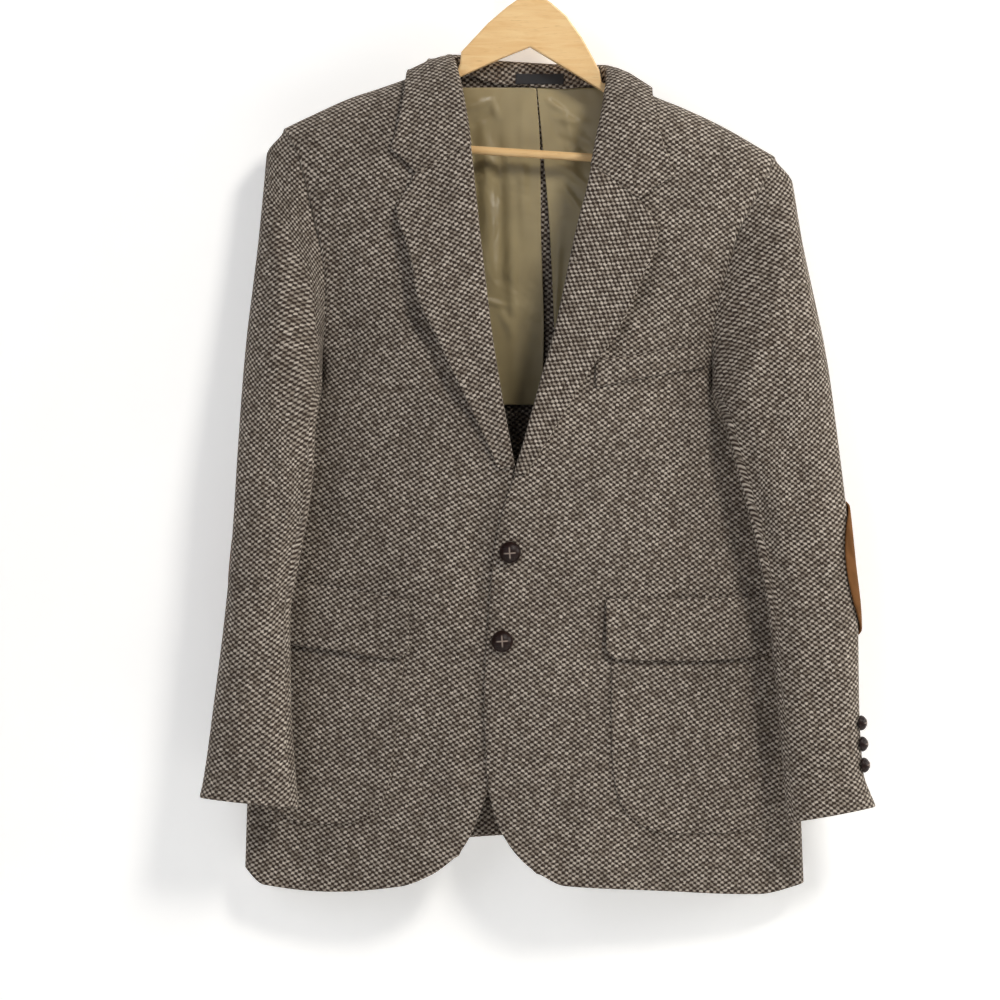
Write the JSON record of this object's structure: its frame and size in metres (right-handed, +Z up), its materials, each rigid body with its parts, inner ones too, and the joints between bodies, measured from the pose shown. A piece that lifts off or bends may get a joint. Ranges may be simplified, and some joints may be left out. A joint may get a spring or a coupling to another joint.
{
  "type": "tweed hacking jacket on a wooden hanger",
  "caption": "Single-breasted tweed hacking jacket with notched lapels, patch pockets with flaps and suede elbow patches, hanging closed on a flat wooden hanger.",
  "frame": {"origin": "the inside top of the hanger's hook, where the rail bears", "axes": "+Z up, -Y out of the jacket's front, +X to the viewer's right"},
  "size_m": [0.6459, 0.0977, 0.9515],
  "materials": {
    "back_left": "matt woollen tweed",
    "back_right": "matt woollen tweed",
    "breast_welt": "matt woollen tweed",
    "collar": "matt woollen tweed",
    "collar_label": "woven tape",
    "cuff_button_left_1": "semi-gloss woven leather",
    "cuff_button_left_2": "semi-gloss woven leather",
    "cuff_button_left_3": "semi-gloss woven leather",
    "cuff_button_right_1": "semi-gloss woven leather",
    "cuff_button_right_2": "semi-gloss woven leather",
    "cuff_button_right_3": "semi-gloss woven leather",
    "elbow_patch_left": "napped suede",
    "elbow_patch_right": "napped suede",
    "front_button_1": "semi-gloss woven leather",
    "front_button_2": "semi-gloss woven leather",
    "front_left": "matt woollen tweed",
    "front_right": "matt woollen tweed",
    "hanger": "clear lacquer",
    "hip_flap_left": "matt woollen tweed",
    "hip_flap_right": "matt woollen tweed",
    "hip_pocket_left": "matt woollen tweed",
    "hip_pocket_right": "matt woollen tweed",
    "hook": "bright plated wire",
    "lapel_left": "matt woollen tweed",
    "lapel_right": "matt woollen tweed",
    "lining_left": "satin",
    "lining_right": "satin",
    "top_sleeve_left": "matt woollen tweed",
    "top_sleeve_right": "matt woollen tweed",
    "trouser_bar": "clear lacquer",
    "under_sleeve_left": "matt woollen tweed",
    "under_sleeve_right": "matt woollen tweed"
  },
  "bodies": {
    "root": {"back_left": "back_left", "back_right": "back_right", "breast_welt": "breast_welt", "collar": "collar", "collar_label": "collar_label", "cuff_button_left_1": "cuff_button_left_1", "cuff_button_left_2": "cuff_button_left_2", "cuff_button_left_3": "cuff_button_left_3", "cuff_button_right_1": "cuff_button_right_1", "cuff_button_right_2": "cuff_button_right_2", "cuff_button_right_3": "cuff_button_right_3", "elbow_patch_left": "elbow_patch_left", "elbow_patch_right": "elbow_patch_right", "front_button_1": "front_button_1", "front_button_2": "front_button_2", "front_left": "front_left", "front_right": "front_right", "hanger": "hanger", "hip_flap_left": "hip_flap_left", "hip_flap_right": "hip_flap_right", "hip_pocket_left": "hip_pocket_left", "hip_pocket_right": "hip_pocket_right", "hook": "hook", "lapel_left": "lapel_left", "lapel_right": "lapel_right", "lining_left": "lining_left", "lining_right": "lining_right", "top_sleeve_left": "top_sleeve_left", "top_sleeve_right": "top_sleeve_right", "trouser_bar": "trouser_bar", "under_sleeve_left": "under_sleeve_left", "under_sleeve_right": "under_sleeve_right"}
  },
  "joints": []
}
